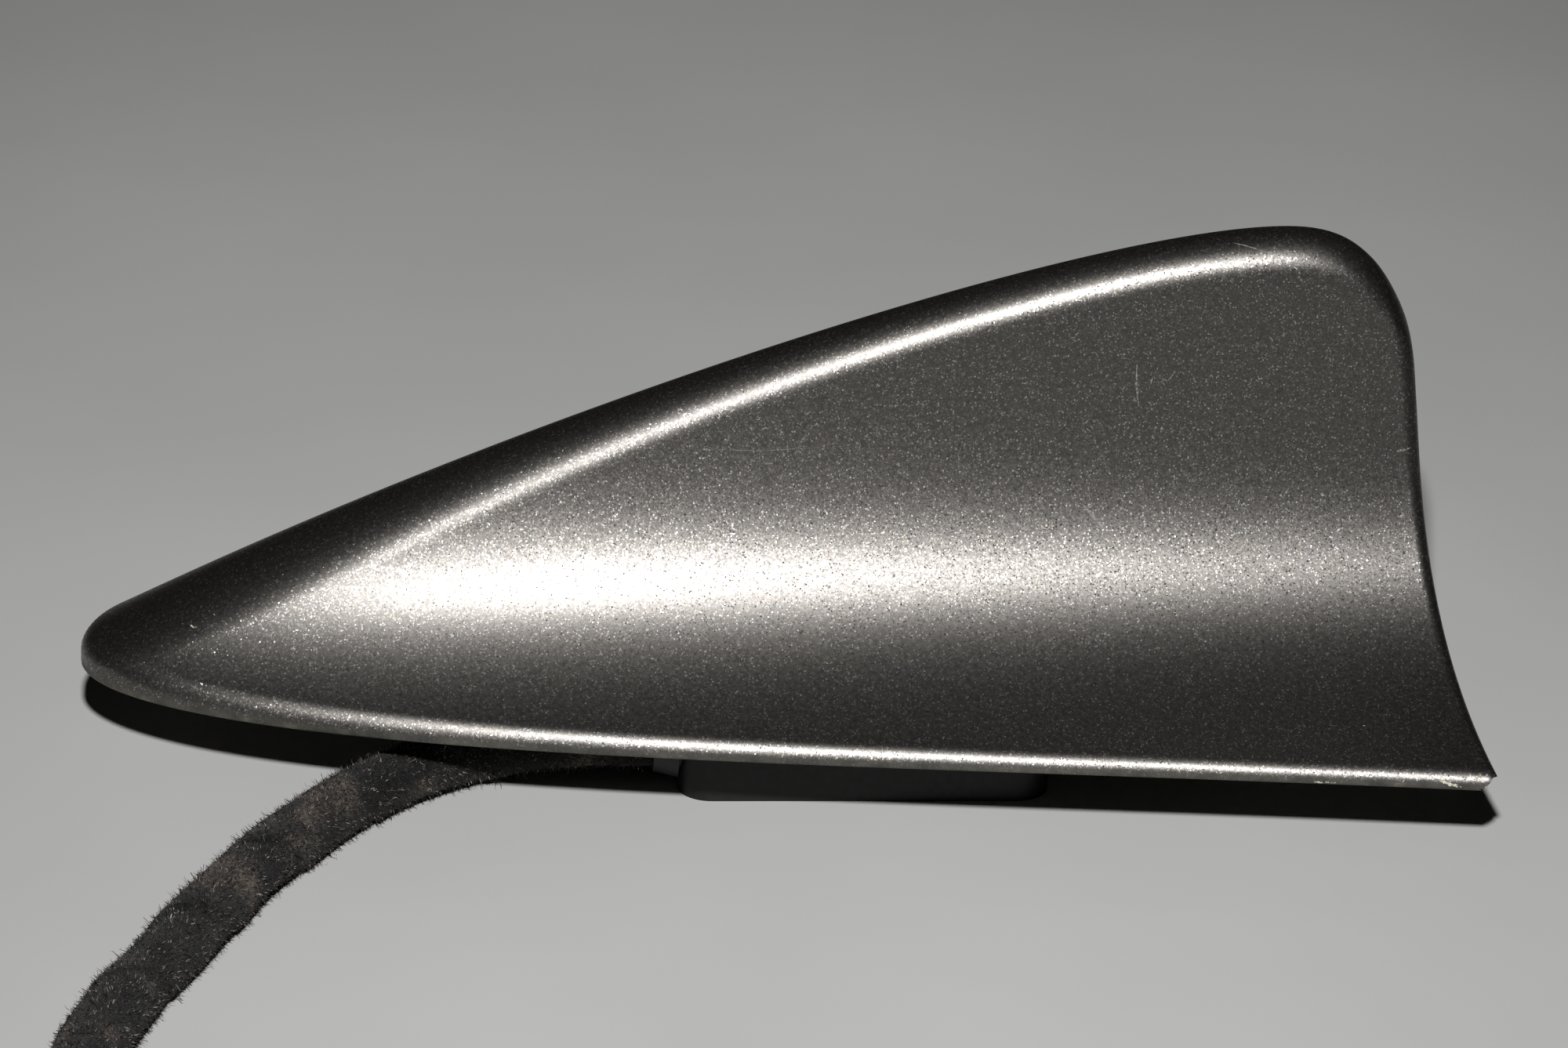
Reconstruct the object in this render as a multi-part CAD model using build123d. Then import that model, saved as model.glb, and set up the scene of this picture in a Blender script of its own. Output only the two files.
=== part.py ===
from build123d import *
import functools
import math
import os

# Roof antenna of a car: a painted shark-fin cover on a die-cast base, the boards inside it, and the
# taped cable that comes out of its foot. Millimetres. X runs from nose to tail, Z is up, and the
# origin is where the axis of the fixing thread meets the roof.

# Fin cover, with distances behind the nose tip and heights above the roof
FIN_LENGTH = 167.0
FIN_WIDTH = 72.8
NOSE_AHEAD = 93.0
NOSE_RADIUS = 8.7
NOSE_LEVEL = 1.5
CREST_HEIGHT = 57.6
CREST_TO_TAIL = 23.0
RIDGE_SWELL = (41.0, 29.0)
RIDGE_EASE = 25.0
TAIL_EASE = 12.0
TAIL_KNEE = (13.5, 7.6)
TAIL_END = (33.0, 45.6)
RIM_GAP = 0.5
LIP_HEIGHT = 1.9
EDGE_ROUND = 1.4
FLARE_FRONT = 12.0
FLARE_TAIL = 8.5
FLARE_FADE = 22.0
BLADE_HALF = 4.8
DRAFT_FRONT = 7.0
DRAFT_TAIL = 0.3
COVER_WALL = 2.4
NOSE_SOLID = 14.0
REAR_HOLLOW = 170.0
CHIP_AHEAD = 2.2
CHIP_BEHIND = 4.4
CHIP_HIGH = 5.2
CHIP_BESIDE = 9.0
CHIP_DEEP = 13.5

# Trailing edge on the centre line: distance ahead of the tail corners, and height
TRAILING_EDGE = [
    (13.8, 60.0),
    (8.2, 46.0),
    (6.8, 34.4),
    (6.0, 26.0),
    (5.0, 18.4),
    (3.9, 9.7),
    (2.7, -3.0),
]

# Die-cast base with its foot
BASE_INSET = 13.0
BASE_FRONT = 24.0
BASE_TO_TAIL = 16.0
BASE_THICK = 2.5
BASE_CORNER = 4.0
FOOT_FRONT = 21.0
FOOT_BACK = 24.0
FOOT_WIDTH = 26.0
FOOT_DEPTH = 12.0
FOOT_CORNER = 4.0
THREAD_RADIUS = 4.0
THREAD_LENGTH = 13.0
DUCT_BACK = 7.2
DUCT_WALL = 4.0
DUCT_WIDTH = 9.4
DUCT_FLOOR = 1.6

# Rubber seal between base and roof
SEAL_THICK = 0.8
SEAL_INSET = 5.6
SEAL_FRONT = 17.0
SEAL_TO_TAIL = 9.0
SEAL_BAND = 8.4

# Screws that hold the cover to the base
COVER_SCREW_RADIUS = 1.4
COVER_SCREW_TIP = 9.5
COVER_SCREW_HEAD = 2.6
COVER_SCREW_CAP = 1.6
COVER_BOSS_RADIUS = 3.2
FRONT_SCREW_AHEAD = 62.0
REAR_SCREW_TO_TAIL = 22.0
REAR_SCREW_SIDE = 11.0
HEAD_SINK = 1.0

# Main board
BOARD_FRONT = 28.0
BOARD_BACK = 46.0
BOARD_WIDTH = 18.8
BOARD_THICK = 1.6
BOARD_CORNER = 1.0
POST_HEIGHT = 3.2
POST_RADIUS = 2.4
POST_INSET = 4.0
POST_SIDE = 6.5
BOARD_SCREW_RADIUS = 0.9
BOARD_SCREW_LONG = 4.0
BOARD_SCREW_HEAD = 1.9
BOARD_SCREW_CAP = 1.4

# Shield can and satellite patch
CAN_FRONT = 18.0
CAN_LENGTH = 30.0
CAN_WIDTH = 13.6
CAN_HEIGHT = 3.5
CAN_WALL = 0.3
CAN_CORNER = 1.0
VENT_RADIUS = 0.6
VENT_PITCH = 6.0
PATCH_BACK = 22.5
PATCH_SIDE = 15.0
PATCH_THICK = 4.0
PATCH_PIN_RADIUS = 0.5
PATCH_PIN_HEAD = 1.2
PATCH_PIN_CAP = 0.3
PATCH_PIN_TAIL = 0.8

# Telephone blade, its holder and its contact spring
ELEMENT_FRONT = 6.0
ELEMENT_TO_TAIL = 19.0
ELEMENT_THICK = 1.0
ELEMENT_LIFT = 4.9
ELEMENT_CLEAR = 8.5
HOLDER_BACK = 31.5
HOLDER_LENGTH = 7.5
HOLDER_WIDTH = 7.0
HOLDER_HEIGHT = 7.9
SLOT_DEPTH = 5.0
SPRING_BACK = 41.0
SPRING_LENGTH = 4.0
SPRING_WIDTH = 2.4
SPRING_THICK = 0.3

# Cable outlet, leads and taped cable
OUTLET_SIDE = 6.5
OUTLET_RISE = 5.6
GROMMET_RADIUS = 4.4
GROMMET_COLLAR = 5.0
GROMMET_END = 4.2
GROMMET_PROUD = 3.0
CABLE_DIAMETER = 7.6
INNER_LEAD_DIAMETER = 2.6
INNER_LEAD_PITCH = 2.95
INNER_LEAD_BEND = 7.0
FERRULE_RADIUS = 1.4
FERRULE_LONG = 4.9
TAIL_DIAMETER = 2.8

# Coaxial plugs on the ends of the leads
PLUG_SIDE = 8.6
PLUG_LENGTH = 20.0
PLUG_CORNER = 1.2
PLUG_BORE = 2.9
PLUG_BORE_DEEP = 9.0
PLUG_KEY_WIDE = 1.4
PLUG_KEY_HIGH = 0.9
PLUG_KEY_LONG = 9.0
SLEEVE_RADIUS = 2.3
SLEEVE_BORE = 1.7
SLEEVE_LONG = 8.0
PIN_RADIUS = 0.5
PIN_LONG = 6.5

# Gaps: round whatever slides into a hole or a slot, round a screw and its head, and behind a lead's bend
FIT = 0.1
SCREW_FIT = 0.3
HEAD_FIT = 0.4
LEAD_GAP = 0.2

# How finely the skin of the fin is drawn: stations behind the nose, and behind the crest
SKIN_LEAD_IN = 4.0
NOSE_STATIONS = [-2.0, 0.5, 3.0, 7.0, 13.0, 22.0, 35.0, 52.0, 75.0, 100.0, 122.0, 138.0]
TAIL_STATIONS = [0.0, 5.0, 9.5, 12.5, 15.0, 18.0, 22.0, 30.0]
PROFILE_STEPS = 14
CREST_CROWDING = 1.6
FINE_STEPS = 80
PLAN_STEPS = 12
PLAN_OVERRUN = 6.0
SKIN_OVERRUN = 1.2
SKIN_BELOW = 14.4
SKIN_STEP = 0.4
REAR_REACH = 56.0
REAR_SWING = 36.0
BEND_SHARE = 0.45

# Levels and places that follow from the sizes above
CREST_BACK = FIN_LENGTH - CREST_TO_TAIL
TAIL_X = FIN_LENGTH - NOSE_AHEAD
LIP_TOP = RIM_GAP + LIP_HEIGHT
SKY = 2 * CREST_HEIGHT
TABLE = -FOOT_DEPTH
BASE_LOW = SEAL_THICK
BASE_TOP = BASE_LOW + BASE_THICK
BOARD_LOW = BASE_TOP + POST_HEIGHT
BOARD_TOP = BOARD_LOW + BOARD_THICK
ELEMENT_LOW = BOARD_TOP + ELEMENT_LIFT
OUTLET_Z = TABLE + OUTLET_RISE
LEAD_X = DUCT_WALL - FOOT_FRONT + INNER_LEAD_BEND + LEAD_GAP
COVER_SCREWS = [
    (-FRONT_SCREW_AHEAD, 0.0),
    (TAIL_X - REAR_SCREW_TO_TAIL, -REAR_SCREW_SIDE),
    (TAIL_X - REAR_SCREW_TO_TAIL, REAR_SCREW_SIDE),
]
BOARD_SCREWS = [
    (x, y) for x in (POST_INSET - BOARD_FRONT, BOARD_BACK - POST_INSET) for y in (-POST_SIDE, POST_SIDE)
]
LEAD_SIDES = [INNER_LEAD_PITCH * i - OUTLET_SIDE for i in (-1, 0, 1)]

# The cable lies on the table that the foot stands on: out past the nose, then round and back beside it
CABLE_ROUTE = [
    (-24.0, -6.5, -6.4),
    (-34.0, -6.5, -6.4),
    (-44.2, -10.2, -7.4),
    (-54.0, -16.6, -8.2),
    (-62.8, -25.0, -8.2),
    (-70.6, -35.7, -8.2),
    (-77.5, -49.1, -8.2),
    (-84.6, -65.3, -8.2),
    (-91.4, -82.9, -8.2),
    (-93.2, -97.0, -8.2),
    (-91.1, -109.9, -8.2),
    (-85.8, -121.7, -8.2),
    (-77.7, -131.8, -8.2),
    (-67.1, -139.5, -8.2),
    (-55.1, -144.3, -8.2),
    (-42.3, -146.6, -8.2),
    (-30.3, -146.6, -8.2),
]

# Each lead leaves the end of the tape and runs to its own plug
TAIL_ROUTES = {
    "satellite": [
        (-30.3, -144.55, -9.3),
        (-22.3, -144.55, -9.3),
        (-12.4, -141.8, -10.2),
        (-2.4, -137.3, -10.2),
        (7.6, -134.6, -7.7),
        (15.6, -134.6, -7.7),
    ],
    "phone": [
        (-30.3, -146.6, -6.0),
        (-22.3, -146.6, -6.0),
        (-12.4, -147.2, -8.6),
        (-1.4, -147.1, -10.2),
        (9.6, -146.6, -7.7),
        (18.6, -146.6, -7.7),
    ],
    "radio": [
        (-30.3, -148.65, -9.3),
        (-22.3, -148.65, -9.3),
        (-12.4, -151.4, -10.2),
        (-2.4, -155.9, -10.2),
        (7.6, -158.6, -7.7),
        (15.6, -158.6, -7.7),
    ],
}
PLUG_KEYS = {"satellite": (-1.8, 1.8), "phone": (0.0,), "radio": (-2.2, 0.6)}


def solve(rising, low, high):
    """The place between low and high where a rising function passes zero."""
    for _ in range(60):
        middle = (low + high) / 2
        if rising(middle) < 0:
            low = middle
        else:
            high = middle
    return (low + high) / 2


def block(x0, x1, y0, y1, z0, z1):
    """A box between two corners."""
    return Solid.make_box(x1 - x0, y1 - y0, z1 - z0, Plane((x0, y0, z0)))


def post(x, y, z0, z1, radius):
    """An upright cylinder."""
    return Solid.make_cylinder(radius, z1 - z0, Plane((x, y, z0)))


def bar(x0, x1, y, z, radius):
    """A cylinder along X."""
    return Solid.make_cylinder(radius, x1 - x0, Plane((x0, y, z), x_dir=(0, 1, 0), z_dir=(1, 0, 0)))


def rounded(solid, radius):
    """The solid with its upright edges rounded."""
    return solid.fillet(radius, solid.edges().filter_by(Axis.Z))


def tube(name, points, diameter):
    """A tube along straight runs that are joined by the largest tangent arcs which fit."""
    corners = [Vector(*point) for point in points]
    radii = []
    for before, corner, after in zip(corners, corners[1:], corners[2:]):
        turn = math.radians((corner - before).get_angle(after - corner))
        shorter = min((corner - before).length, (after - corner).length)
        radii.append(BEND_SHARE * shorter / math.tan(turn / 2))
    path = FilletPolyline(*corners, radius=radii)
    section = Plane(corners[0], z_dir=corners[1] - corners[0]) * Circle(diameter / 2)
    solid = sweep(section, path=path)
    volume = math.pi * diameter**2 / 4 * path.length
    print(f"{name}: {path.length:.1f} long, volume {solid.volume:.1f} of {volume:.1f}")
    print(f"{name}: radii", [round(radius, 1) for radius in radii])
    return solid


def plan_half(back):
    """Half the width of the fin at the roof, at a distance behind the nose tip."""
    share = max(back, 0.0) / FIN_LENGTH
    fullness = math.sqrt(2 * NOSE_RADIUS * FIN_LENGTH) - FIN_WIDTH / 2
    return math.sqrt(share) * (FIN_WIDTH / 2 + fullness * (1 - share) ** 2)


def cubic(points, share):
    """A point on the cubic Bezier curve with four control points."""
    rest = 1 - share
    weights = (rest**3, 3 * share * rest**2, 3 * share**2 * rest, share**3)
    return tuple(sum(weight * point[i] for weight, point in zip(weights, points)) for i in (0, 1))


@functools.cache
def ridge_height(back):
    """Height of the ridge, which climbs from the nose to the crest and rolls over behind it."""
    if back < CREST_BACK:
        curve = [(-SKIN_LEAD_IN, NOSE_LEVEL), RIDGE_SWELL]
        curve += [(CREST_BACK - RIDGE_EASE, CREST_HEIGHT), (CREST_BACK, CREST_HEIGHT)]
    else:
        curve = [(CREST_BACK, CREST_HEIGHT), (CREST_BACK + TAIL_EASE, CREST_HEIGHT)]
        curve += [(CREST_BACK + reach, CREST_HEIGHT - drop) for reach, drop in (TAIL_KNEE, TAIL_END)]
    return cubic(curve, solve(lambda share: cubic(curve, share)[0] - back, 0, 1))[1]


def flank(back, z, inset):
    """Half thickness and slope of the flank: a drafted blade that flares out towards the rim."""
    wide = plan_half(back + SKIN_LEAD_IN)
    fill = wide / (wide + SKIN_LEAD_IN)
    share = back / FIN_LENGTH
    height = ridge_height(back)
    flare = FLARE_FRONT + share * (FLARE_TAIL - FLARE_FRONT)
    flare = flare * (1 - math.exp(-(back + SKIN_LEAD_IN) / FLARE_FADE))
    draft = fill * math.tan(math.radians(DRAFT_FRONT + share * (DRAFT_TAIL - DRAFT_FRONT)))
    blade = fill * BLADE_HALF + draft * (height - z)
    root = fill * BLADE_HALF + draft * (height - LIP_TOP)
    spread = (wide - root) * math.exp(-(z + inset - LIP_TOP) / flare)
    return blade - inset + spread, -draft - spread / flare


def skin_height(back, y):
    """Height of the outer skin over a place at one side of the centre line."""
    return solve(lambda z: y - flank(back, z, 0)[0], LIP_TOP, ridge_height(back))


def half_profile(back, inset, shares):
    """Points of half a cross-section, from outside the rim up to the ridge, which is a tangent arc."""
    height = ridge_height(back) - inset

    def arc_top(z):
        half, slope = flank(back, z, inset)
        lean = math.atan(-slope)
        return z + half / math.cos(lean) * (1 - math.sin(lean))

    joint = solve(lambda z: arc_top(z) - height, height - CREST_HEIGHT / 2, height)
    half, slope = flank(back, joint, inset)
    lean = math.atan(-slope)
    radius = half / math.cos(lean)
    outside = SKIN_OVERRUN * plan_half(back + SKIN_LEAD_IN)
    foot = solve(lambda z: outside - flank(back, z, inset)[0], -SKIN_BELOW, joint)
    foot = min(foot, joint - SKIN_STEP)
    fine = []
    for i in range(FINE_STEPS + 1):
        z = foot + (joint - foot) * i / FINE_STEPS
        fine.append((flank(back, z, inset)[0], z))
    for i in range(1, FINE_STEPS + 1):
        angle = lean + (math.pi / 2 - lean) * i / FINE_STEPS
        fine.append((radius * math.cos(angle), height - radius + radius * math.sin(angle)))
    runs = [0.0]
    for one, two in zip(fine, fine[1:]):
        runs.append(runs[-1] + math.dist(one, two))
    points = [fine[0]]
    for share in shares[1:-1]:
        place = share * runs[-1]
        i = next(i for i, run in enumerate(runs) if run >= place)
        part = (place - runs[i - 1]) / (runs[i] - runs[i - 1])
        points.append(tuple(a + (b - a) * part for a, b in zip(fine[i - 1], fine[i])))
    return points + [(0.0, height)]


def skin_line(back, inset):
    """One cross-section of the skin, from the left side over the ridge to the right side."""
    shares = [1 - (1 - i / PROFILE_STEPS) ** CREST_CROWDING for i in range(PROFILE_STEPS + 1)]
    half = half_profile(back, inset, shares)
    x = back - NOSE_AHEAD
    points = [Vector(x, -y, z) for y, z in half] + [Vector(x, y, z) for y, z in half[-2::-1]]
    places = [share / 2 for share in shares] + [1 - share / 2 for share in shares[-2::-1]]
    return Wire([Edge.make_spline(points, parameters=places)])


def skin_face(inset, first):
    """The skin of the fin as one face, moved in by an inset, from a first station to past the tail."""
    backs = [back for back in NOSE_STATIONS if first < back < CREST_BACK - SKIN_LEAD_IN]
    backs += [CREST_BACK + back for back in TAIL_STATIONS]
    return Shell.make_loft([skin_line(back, inset) for back in [first] + backs]).faces()[0]


def fin_blank():
    """A block with the fin's plan outline, drawn as one curve round the nose."""
    backs = [(FIN_LENGTH + PLAN_OVERRUN) * (i / PLAN_STEPS) ** 2 for i in range(PLAN_STEPS + 1)]
    right = [Vector(back - NOSE_AHEAD, plan_half(back), RIM_GAP) for back in reversed(backs)]
    left = [Vector(back - NOSE_AHEAD, -plan_half(back), RIM_GAP) for back in backs[1:]]
    points = right + left
    outline = Wire([Edge.make_spline(points), Edge.make_line(points[-1], points[0])])
    return Solid.extrude(Face(outline), Vector(0, 0, SKY))


def behind_tail(forward):
    """The space behind the hollow rear face, moved forward by a wall."""
    points = [Vector(TAIL_X - ahead, 0, z) for ahead, z in TRAILING_EDGE]
    edge = Edge.make_spline(points)
    far_low = Vector(TAIL_X + REAR_REACH, 0, points[-1].Z)
    far_high = Vector(TAIL_X + REAR_REACH, 0, points[0].Z)
    outline = [edge, Edge.make_line(points[-1], far_low), Edge.make_line(far_low, far_high)]
    outline.append(Edge.make_line(far_high, points[0]))
    axis = Axis((TAIL_X + REAR_HOLLOW, 0, 0), (0, 0, 1))
    space = Solid.revolve(Face(Wire(outline)), REAR_SWING, axis).rotate(axis, -REAR_SWING / 2)
    return space.moved(Location((-forward, 0, 0)))


def plan_plate(inset, front, back, z0, z1):
    """A plate with the fin's plan outline less an inset on each side, and square ends."""
    spans = [front + (back - front) * i / PLAN_STEPS for i in range(PLAN_STEPS + 1)]
    right = [Vector(span - NOSE_AHEAD, plan_half(span) - inset, z0) for span in spans]
    left = [Vector(span - NOSE_AHEAD, inset - plan_half(span), z0) for span in reversed(spans)]
    edges = [Edge.make_spline(right), Edge.make_line(right[-1], left[0])]
    edges += [Edge.make_spline(left), Edge.make_line(left[-1], right[0])]
    return Solid.extrude(Face(Wire(edges)), Vector(0, 0, z1 - z0))


def make_fin_cover():
    """Moulded cover: a hollow fin with screw bosses, chipped at the left rear corner of its rim."""
    fin = fin_blank() - Solid.extrude(skin_face(0, NOSE_STATIONS[0]), Vector(0, 0, SKY))
    fin = fin - behind_tail(0)
    edges = fin.edges()
    front = [e for e in edges if (e @ 0.5).X < -NOSE_AHEAD / 2]
    rim = max((e for e in front if (e @ 0.5).Z > RIM_GAP + FIT), key=lambda e: e.length)
    tail = max((e for e in edges if (e @ 0.5).Z > CREST_HEIGHT / 3), key=lambda e: e.length)
    fin = fin.fillet(EDGE_ROUND, [rim, tail])
    hollow = Solid.extrude(skin_face(COVER_WALL, NOSE_SOLID), Vector(0, 0, -SKY))
    cover = fin - (hollow - behind_tail(COVER_WALL))
    for x, y in COVER_SCREWS:
        back = x + NOSE_AHEAD - COVER_BOSS_RADIUS
        top = skin_height(back, abs(y) + COVER_BOSS_RADIUS) - COVER_WALL / 2
        cover = cover + post(x, y, BASE_TOP, top, COVER_BOSS_RADIUS)
    for x, y in COVER_SCREWS:
        cover = cover - post(x, y, BASE_TOP, COVER_SCREW_TIP + FIT, COVER_SCREW_RADIUS + FIT)
    corner = FIN_WIDTH / 2
    chip = Polyline(
        (TAIL_X - CHIP_AHEAD, -corner - CHIP_BESIDE, 0),
        (TAIL_X + CHIP_AHEAD, -corner - CHIP_BESIDE, RIM_GAP + CHIP_HIGH),
        (TAIL_X + CHIP_BEHIND, -corner - CHIP_BESIDE, 0),
        close=True,
    )
    chip = Solid.extrude(Face(chip.wire()), Vector(CHIP_AHEAD, CHIP_DEEP, 0))
    return cover - chip


def make_base_plate():
    """Die-cast base: plate, foot with the fixing thread, lead duct, and posts for the board."""
    base = plan_plate(BASE_INSET, BASE_FRONT, FIN_LENGTH - BASE_TO_TAIL, BASE_LOW, BASE_TOP)
    base = rounded(base, BASE_CORNER)
    foot = block(-FOOT_FRONT, FOOT_BACK, -FOOT_WIDTH / 2, FOOT_WIDTH / 2, TABLE, BASE_LOW)
    base = base + rounded(foot, FOOT_CORNER)
    duct_sides = (-OUTLET_SIDE - DUCT_WIDTH / 2, -OUTLET_SIDE + DUCT_WIDTH / 2)
    base = base - block(DUCT_WALL - FOOT_FRONT, -DUCT_BACK, *duct_sides, TABLE + DUCT_FLOOR, BASE_TOP)
    base = base - bar(-FOOT_FRONT, DUCT_WALL - FOOT_FRONT, -OUTLET_SIDE, OUTLET_Z, GROMMET_RADIUS)
    base = base - post(0, 0, TABLE, TABLE + THREAD_LENGTH, THREAD_RADIUS)
    for x, y in COVER_SCREWS:
        base = base - post(x, y, BASE_LOW, BASE_LOW + HEAD_SINK, COVER_SCREW_HEAD + HEAD_FIT)
        base = base - post(x, y, BASE_LOW, BASE_TOP, COVER_SCREW_RADIUS + SCREW_FIT)
    for x, y in BOARD_SCREWS:
        base = base + post(x, y, BASE_TOP, BOARD_LOW, POST_RADIUS)
    for x, y in BOARD_SCREWS:
        tip = BOARD_TOP - BOARD_SCREW_LONG
        base = base - post(x, y, tip - FIT, BOARD_LOW, BOARD_SCREW_RADIUS + FIT)
    return base


def make_roof_seal():
    """Flat rubber ring that follows the edge of the base."""
    back = FIN_LENGTH - SEAL_TO_TAIL
    ring = rounded(plan_plate(SEAL_INSET, SEAL_FRONT, back, 0, SEAL_THICK), BASE_CORNER)
    inside = (SEAL_INSET + SEAL_BAND, SEAL_FRONT + SEAL_BAND, back - SEAL_BAND)
    return ring - rounded(plan_plate(*inside, 0, SEAL_THICK), BASE_CORNER)


def make_cover_screws():
    """Three pan-head screws that go up through the base into the bosses of the cover."""
    seat = BASE_LOW + HEAD_SINK
    screws = []
    for x, y in COVER_SCREWS:
        head = post(x, y, seat - COVER_SCREW_CAP, seat, COVER_SCREW_HEAD)
        screws.append(head + post(x, y, seat, COVER_SCREW_TIP, COVER_SCREW_RADIUS))
    return Compound(screws)


def make_main_board():
    """Circuit board with its screw holes and the hole for the patch pin."""
    board = block(-BOARD_FRONT, BOARD_BACK, -BOARD_WIDTH / 2, BOARD_WIDTH / 2, BOARD_LOW, BOARD_TOP)
    board = rounded(board, BOARD_CORNER)
    for x, y in BOARD_SCREWS:
        board = board - post(x, y, BOARD_LOW, BOARD_TOP, BOARD_SCREW_RADIUS + FIT)
    return board - post(PATCH_BACK, 0, BOARD_LOW, BOARD_TOP, PATCH_PIN_RADIUS + FIT)


def make_board_screws():
    """Four small screws that hold the board down on its posts."""
    screws = []
    for x, y in BOARD_SCREWS:
        head = post(x, y, BOARD_TOP, BOARD_TOP + BOARD_SCREW_CAP, BOARD_SCREW_HEAD)
        screws.append(head + post(x, y, BOARD_TOP - BOARD_SCREW_LONG, BOARD_TOP, BOARD_SCREW_RADIUS))
    return Compound(screws)


def make_shield_can():
    """Drawn tin can over the amplifier, open below, with rows of vents in its roof."""
    back = CAN_LENGTH - CAN_FRONT
    top = BOARD_TOP + CAN_HEIGHT
    can = rounded(block(-CAN_FRONT, back, -CAN_WIDTH / 2, CAN_WIDTH / 2, BOARD_TOP, top), CAN_CORNER)
    half = CAN_WIDTH / 2 - CAN_WALL
    inside = block(CAN_WALL - CAN_FRONT, back - CAN_WALL, -half, half, BOARD_TOP, top - CAN_WALL)
    can = can - rounded(inside, CAN_CORNER - CAN_WALL)
    across = int(half / VENT_PITCH)
    along = int((CAN_LENGTH / 2 - CAN_CORNER) / VENT_PITCH)
    middle = CAN_LENGTH / 2 - CAN_FRONT
    for i in range(-along, along + 1):
        for j in range(-across, across + 1):
            can = can - post(middle + i * VENT_PITCH, j * VENT_PITCH, top - CAN_WALL, top, VENT_RADIUS)
    return can


def make_patch_ceramic():
    """Square ceramic of the satellite antenna, bored for its feed pin."""
    half = PATCH_SIDE / 2
    tile = block(PATCH_BACK - half, PATCH_BACK + half, -half, half, BOARD_TOP, BOARD_TOP + PATCH_THICK)
    return tile - post(PATCH_BACK, 0, BOARD_TOP, BOARD_TOP + PATCH_THICK, PATCH_PIN_RADIUS + FIT)


def make_patch_pin():
    """Feed pin with a flat head on the ceramic and its tail through the board."""
    top = BOARD_TOP + PATCH_THICK
    pin = post(PATCH_BACK, 0, BOARD_LOW - PATCH_PIN_TAIL, top, PATCH_PIN_RADIUS)
    return pin + post(PATCH_BACK, 0, top, top + PATCH_PIN_CAP, PATCH_PIN_HEAD)


def make_phone_element():
    """Upright printed blade that fills the fin, with a tab that stands in its holder."""
    back = TAIL_X - ELEMENT_TO_TAIL
    tab = (HOLDER_BACK + FIT, HOLDER_BACK + HOLDER_LENGTH - FIT)
    tab_low = BOARD_TOP + HOLDER_HEIGHT - SLOT_DEPTH
    front_top = ridge_height(NOSE_AHEAD - ELEMENT_FRONT) - ELEMENT_CLEAR
    back_top = ridge_height(NOSE_AHEAD + back) - ELEMENT_CLEAR
    y = -ELEMENT_THICK / 2
    outline = Polyline(
        (-ELEMENT_FRONT, y, ELEMENT_LOW),
        (tab[0], y, ELEMENT_LOW),
        (tab[0], y, tab_low),
        (tab[1], y, tab_low),
        (tab[1], y, ELEMENT_LOW),
        (back, y, ELEMENT_LOW),
        (back, y, back_top),
        (-ELEMENT_FRONT, y, front_top),
        close=True,
    )
    return Solid.extrude(Face(outline.wire()), Vector(0, ELEMENT_THICK, 0))


def make_element_holder():
    """Moulded block on the board with a slot for the blade."""
    top = BOARD_TOP + HOLDER_HEIGHT
    back = HOLDER_BACK + HOLDER_LENGTH
    holder = block(HOLDER_BACK, back, -HOLDER_WIDTH / 2, HOLDER_WIDTH / 2, BOARD_TOP, top)
    half = ELEMENT_THICK / 2 + FIT
    return holder - block(HOLDER_BACK, back, -half, half, top - SLOT_DEPTH, top)


def make_contact_spring():
    """Bent strip that joins the blade to the board."""
    y = -SPRING_WIDTH / 2
    back = SPRING_BACK + SPRING_LENGTH
    outline = Polyline(
        (back, y, BOARD_TOP),
        (SPRING_BACK, y, BOARD_TOP),
        (SPRING_BACK, y, ELEMENT_LOW),
        (back, y, ELEMENT_LOW),
        (back, y, ELEMENT_LOW - SPRING_THICK),
        (SPRING_BACK + SPRING_THICK, y, ELEMENT_LOW - SPRING_THICK),
        (SPRING_BACK + SPRING_THICK, y, BOARD_TOP + SPRING_THICK),
        (back, y, BOARD_TOP + SPRING_THICK),
        close=True,
    )
    return Solid.extrude(Face(outline.wire()), Vector(0, SPRING_WIDTH, 0))


def make_coax_ferrules():
    """Crimp ferrules under the board, one for each lead."""
    low = BOARD_LOW - FERRULE_LONG
    return Compound([post(LEAD_X, y, low, BOARD_LOW, FERRULE_RADIUS) for y in LEAD_SIDES])


def make_inner_leads():
    """Leads that turn up from the grommet to their ferrules."""
    leads = []
    for y in LEAD_SIDES:
        corners = [(DUCT_WALL - FOOT_FRONT, y, OUTLET_Z), (LEAD_X, y, OUTLET_Z)]
        corners.append((LEAD_X, y, BOARD_LOW - FERRULE_LONG))
        path = FilletPolyline(*corners, radius=INNER_LEAD_BEND)
        section = Plane(corners[0], z_dir=(1, 0, 0)) * Circle(INNER_LEAD_DIAMETER / 2)
        leads += sweep(section, path=path).solids()
    return Compound(leads)


def make_cable_grommet():
    """Rubber bush in the front wall of the foot, with a tapered collar outside."""
    bush = bar(-FOOT_FRONT, DUCT_WALL - FOOT_FRONT, -OUTLET_SIDE, OUTLET_Z, GROMMET_RADIUS)
    outside = Plane((-FOOT_FRONT, -OUTLET_SIDE, OUTLET_Z), x_dir=(0, 1, 0), z_dir=(-1, 0, 0))
    return bush + Solid.make_cone(GROMMET_COLLAR, GROMMET_END, GROMMET_PROUD, outside)


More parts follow.
